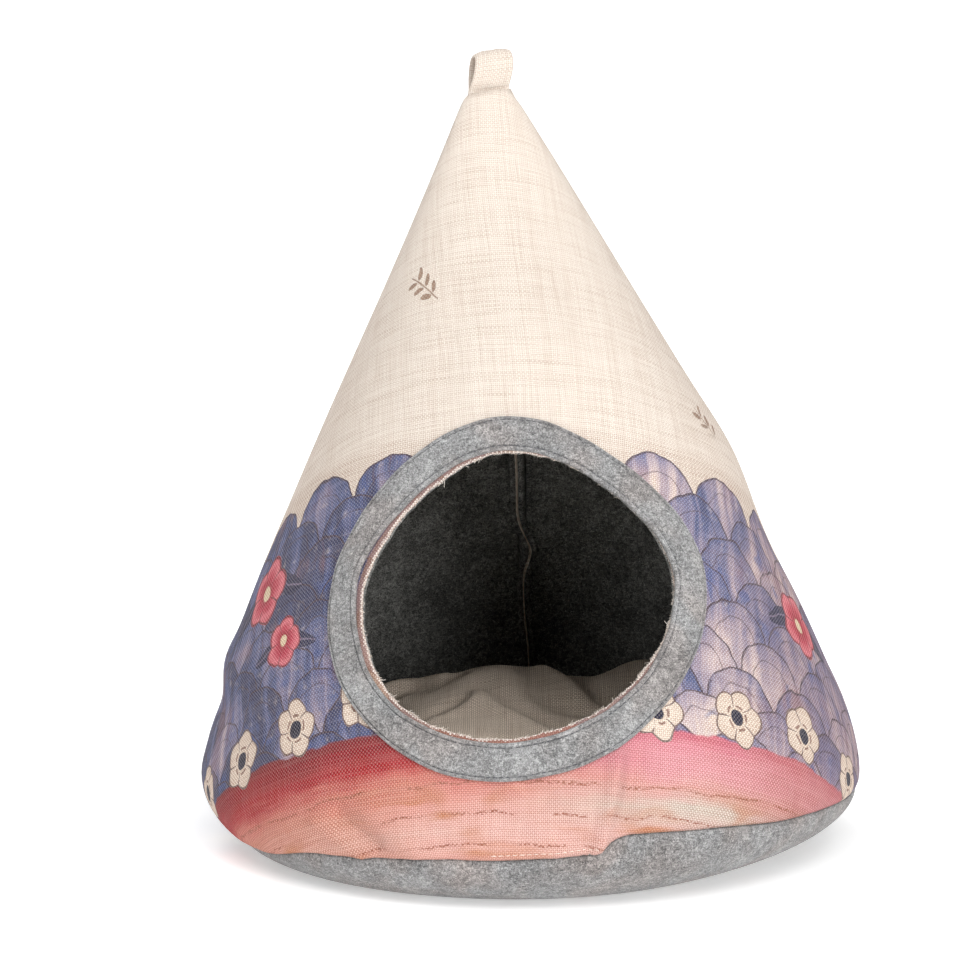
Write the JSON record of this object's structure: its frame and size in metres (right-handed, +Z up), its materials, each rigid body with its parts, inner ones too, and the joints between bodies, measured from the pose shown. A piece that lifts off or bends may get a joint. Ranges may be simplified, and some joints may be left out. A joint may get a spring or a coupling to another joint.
{
  "type": "cat teepee",
  "caption": "Soft cone-shaped pet tent of printed linen over felt, with a round felt-bound doorway, dished felt base, loose cushion and hanging loop.",
  "frame": {"origin": "on the floor, under the middle of the overall box", "axes": "+Z up, the doorway faces -Y, +X to the right as seen from the front"},
  "size_m": [0.424, 0.4236, 0.5075],
  "materials": {
    "printed_linen": "matte woven, printed",
    "plain_linen": "matte woven",
    "cushion_linen": "matte woven",
    "grey_felt": "matte felt",
    "dark_felt": "matte felt"
  },
  "bodies": {
    "root": {"cover": "printed_linen", "lining": "dark_felt", "entry_ring": "grey_felt", "base": "grey_felt", "cushion": "cushion_linen", "hang_loop": "plain_linen"}
  },
  "joints": []
}
